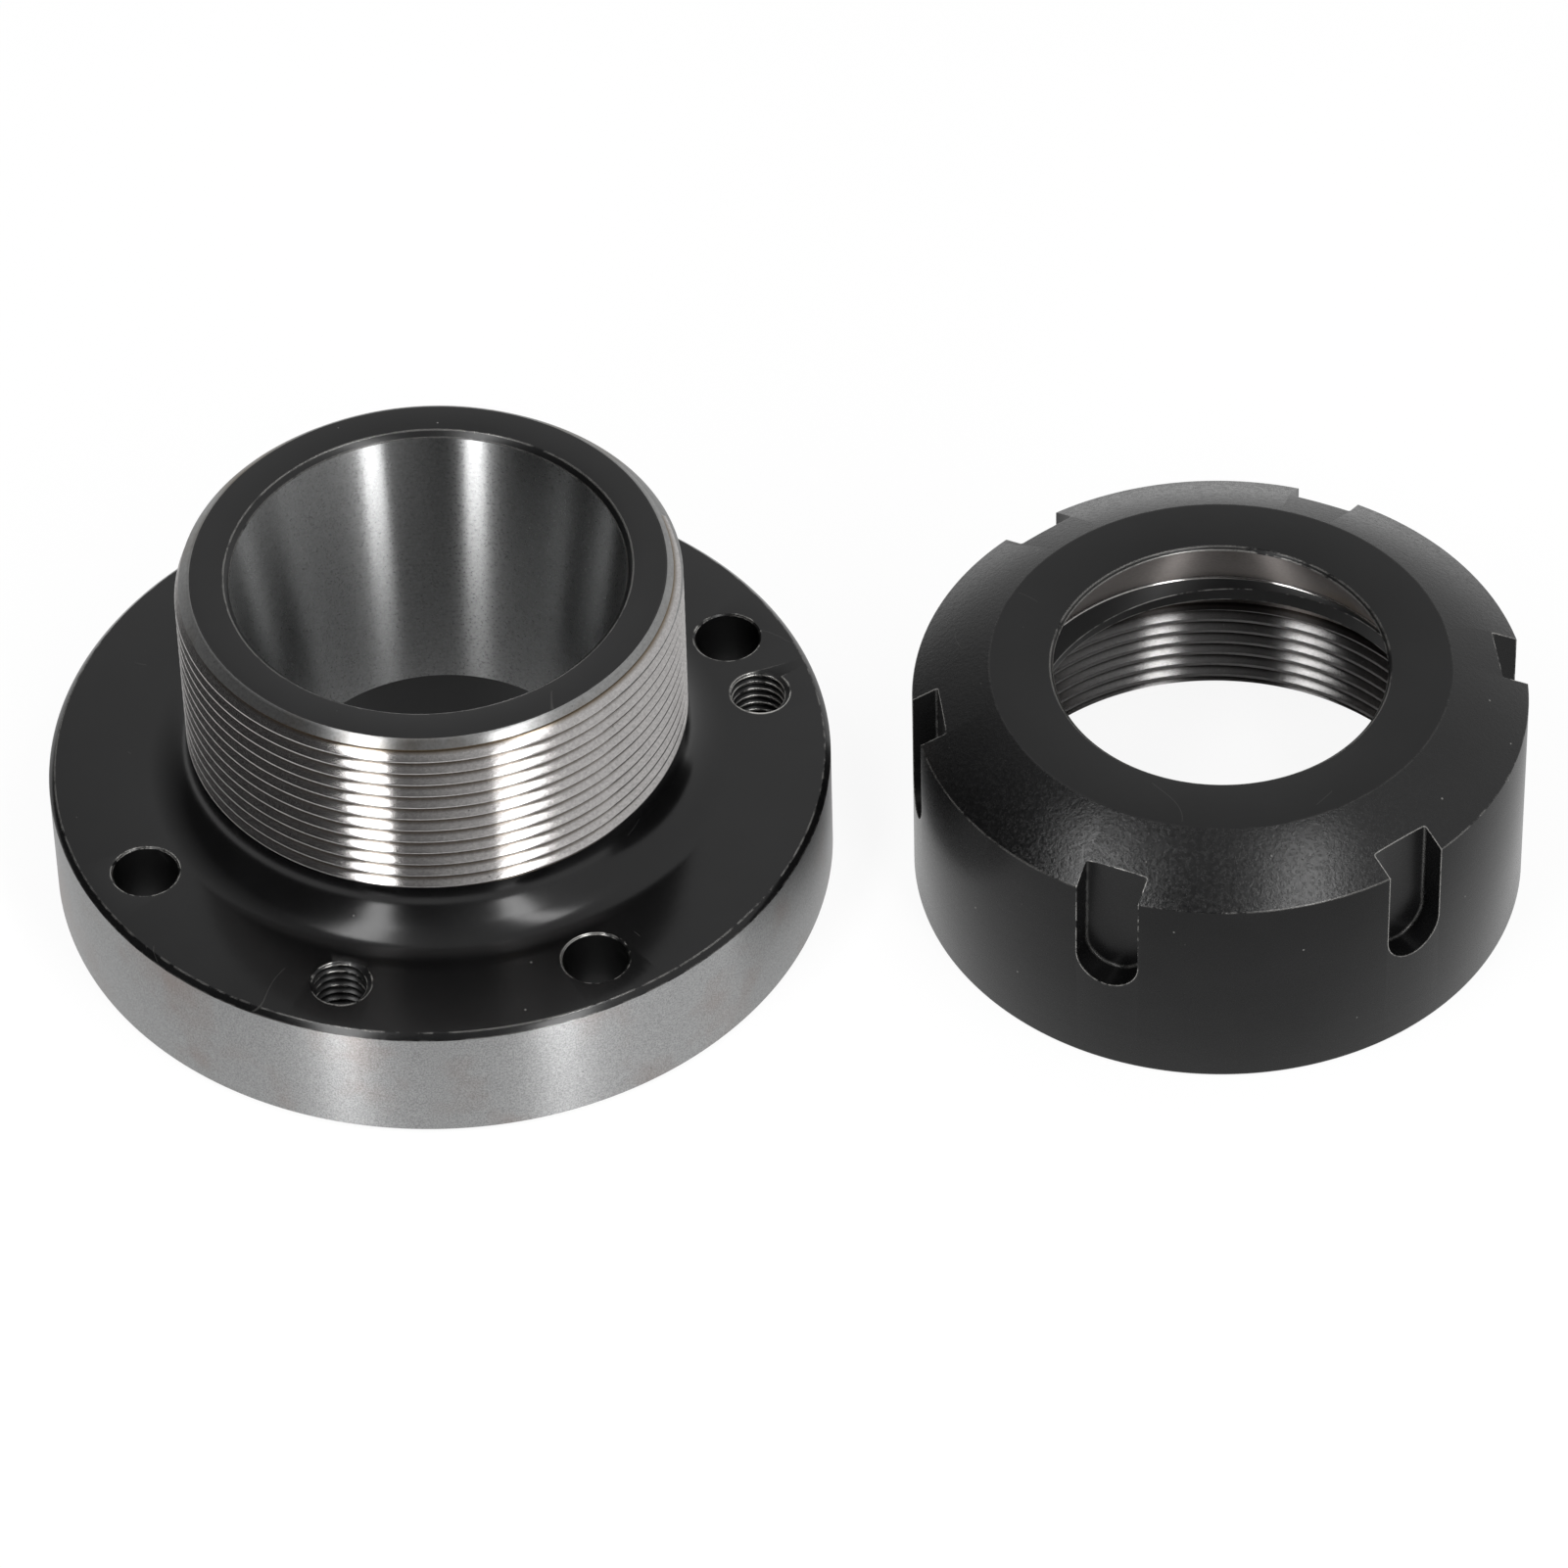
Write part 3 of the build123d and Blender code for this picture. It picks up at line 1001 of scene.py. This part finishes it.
class CHUCK_OT_stage(bpy.types.Operator):
    """Lay the pale floor, hang the softboxes and stand the camera where the photographer did"""

    bl_idname = "chuck.stage"
    bl_label = "Studio"

    def execute(self, context):
        studio = context.scene.chuck_studio
        self.floor(studio)
        self.world(studio)
        self.lamps(studio)
        self.camera(context, studio)
        return {"FINISHED"}

    def floor(self, studio):
        """A wide round floor whose colour fades into the studio, with a painted shadow inside the nut
        that only the metal sees.
        """
        to_objects()
        bpy.ops.mesh.primitive_circle_add(
            vertices=96, radius=FLOOR_RADIUS, fill_type="NGON", location=FLOOR_CENTRE)
        floor = bpy.context.object
        floor.name = "floor"
        place_in_mesh(floor)
        material, bench, shader = new_material("floor_paper")
        bench.feed(shader, Roughness=0.9, Specular_IOR_Level=0.1,
                   Base_Color=(0.92, 0.92, 0.92, 1.0))
        rays = bench.add("ShaderNodeLightPath").outputs
        # The metal sees a dim floor through the nut, a painted shadow, and a white one beyond it
        beyond = bench.minus(turned_place(bench, NUT_AXIS)["Radius"],
                             mount_size("nose_thread"))
        clear = bench.times(beyond, 1 / FLOOR_FADE, clamp=True)
        mirrored_with_painted_shadow = bench.plus(studio.shaded_floor, bench.times(
            clear, studio.floor_white - studio.shaded_floor))
        reflected = bench.maths("MAXIMUM", rays["Is Glossy Ray"], rays["Is Transmission Ray"])
        share = bench.maths("MAXIMUM", bench.times(rays["Is Camera Ray"], studio.floor_white),
                            bench.times(reflected, mirrored_with_painted_shadow))
        glow = bench.add("ShaderNodeEmission", Color=(1.0, 1.0, 1.0, 1.0), Strength=1.0)
        both = bench.add("ShaderNodeMixShader", in0=share, in1=shader.outputs[0],
                         in2=glow.outputs[0])
        bench.feed(bench.tree.get_output_node("ALL"), Surface=both.outputs[0])
        floor.data.materials.append(material)

    def world(self, studio):
        """A white backdrop, and a dim studio that is lighter behind the chuck and to its right."""
        world = bpy.data.worlds.new("studio")
        bpy.context.scene.world = world
        world.use_nodes = True
        bench = NodeBench(world.node_tree)
        bench.tree.nodes.clear()
        way = bench.add("ShaderNodeTexCoord").outputs["Generated"]
        right, behind, _ = bench.add("ShaderNodeSeparateXYZ", in0=way).outputs
        aside = bench.plus(bench.times(right, studio.sky_right),
                           bench.times(behind, studio.sky_behind))
        dim = bench.maths("MAXIMUM", bench.plus(aside, studio.sky), studio.sky_least)
        dim = bench.maths("MINIMUM", dim, studio.sky_most)
        seen = bench.add("ShaderNodeLightPath").outputs["Is Camera Ray"]
        background = bench.add(
            "ShaderNodeBackground", Color=bench.mix(seen, dim, (1.0, 1.0, 1.0)), Strength=1.0)
        bench.add("ShaderNodeOutputWorld", Surface=background.outputs[0])

    def lamps(self, studio):
        """Two long softboxes that rise from either side of the camera to over the chuck.

        Each is bent, so it is hung as two parts, given by name, foot, head and width.
        """
        parts = (
            ("softbox_left", (-0.305, -0.695, 0.063), (-0.214, -0.381, 0.438), 0.105),
            ("softbox_left_top", (-0.214, -0.381, 0.438), (-0.21, -0.02, 0.78), 0.12),
            ("softbox_right", (0.506, -1.01, 0.12), (0.333, -0.499, 0.592), 0.16),
            ("softbox_right_top", (0.333, -0.499, 0.592), (0.405, -0.1, 1.02), 0.11),
        )
        for name, foot, head, width in parts:
            foot = Vector(foot)
            head = Vector(head)
            reach = (head - foot).length
            data = bpy.data.lights.new(name, "AREA")
            data.shape = "RECTANGLE"
            data.size = width
            data.size_y = reach
            data.energy = studio.lamp_radiance * pi * width * reach
            lamp = bpy.data.objects.new(name, data)
            bpy.context.collection.objects.link(lamp)
            lamp.visible_camera = False
            along = (head - foot).normalized()
            middle = (foot + head) / 2
            side = along.cross(middle).normalized()
            facing = side.cross(along)
            lamp.matrix_world = (Matrix.Translation(middle)
                                 @ Matrix((side, along, facing)).transposed().to_4x4())

    def camera(self, context, studio):
        """The photograph's camera, from its pitch, roll and place."""
        data = bpy.data.cameras.new("camera")
        data.sensor_width = 36.0
        data.lens = studio.lens
        data.clip_start = 0.01
        data.clip_end = 50.0
        camera = bpy.data.objects.new("camera", data)
        bpy.context.collection.objects.link(camera)
        forward = Vector((0.0, cos(studio.pitch), -sin(studio.pitch)))
        upright = Vector((0.0, sin(studio.pitch), cos(studio.pitch)))
        aside = Vector((1.0, 0.0, 0.0))
        right = aside * cos(studio.roll) - upright * sin(studio.roll)
        above = aside * sin(studio.roll) + upright * cos(studio.roll)
        turned = Matrix((right, above, -forward)).transposed().to_4x4()
        camera.matrix_world = Matrix.Translation(Vector(studio.camera_place)) @ turned
        context.scene.camera = camera
        context.scene.view_settings.view_transform = "Standard"


class CHUCK_PT_panel(bpy.types.Panel):
    """Lists the operators and sizes of the chuck"""

    bl_label = "Flange Collet Chuck"
    bl_idname = "CHUCK_PT_panel"
    bl_space_type = "VIEW_3D"
    bl_region_type = "UI"
    bl_category = "Chuck"

    def draw(self, context):
        layout = self.layout
        for operator in (CHUCK_OT_body, CHUCK_OT_nut, CHUCK_OT_stage):
            layout.operator(operator.bl_idname)
        for name in SETTINGS:
            group = getattr(context.scene, name)
            box = layout.box()
            for key in group.bl_rna.properties.keys():
                if key not in ("rna_type", "name"):
                    box.prop(group, key)


SETTINGS = {
    "chuck_body_sizes": ChuckBodySizes,
    "chuck_nut_sizes": ClampingNutSizes,
    "chuck_threads": ThreadSizes,
    "chuck_colours": FinishColours,
    "chuck_studio": StudioSettings,
}
OPERATORS = (CHUCK_OT_body, CHUCK_OT_nut, CHUCK_OT_stage)


def register():
    for name, group in SETTINGS.items():
        bpy.utils.register_class(group)
        setattr(bpy.types.Scene, name, PointerProperty(type=group))
    for operator in OPERATORS:
        bpy.utils.register_class(operator)
    bpy.utils.register_class(CHUCK_PT_panel)


def unregister():
    bpy.utils.unregister_class(CHUCK_PT_panel)
    for operator in reversed(OPERATORS):
        bpy.utils.unregister_class(operator)
    for name, group in reversed(SETTINGS.items()):
        delattr(bpy.types.Scene, name)
        bpy.utils.unregister_class(group)


def main():
    """Register the add-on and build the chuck."""
    register()
    GROUPS.update(place=turned_place_group(), marks=tool_marks_group(),
                  wear=worn_edge_group(), speckle=speckle_group())
    bpy.ops.chuck.body()
    bpy.ops.chuck.nut()
    bpy.ops.chuck.stage()


if __name__ == "__main__":
    main()
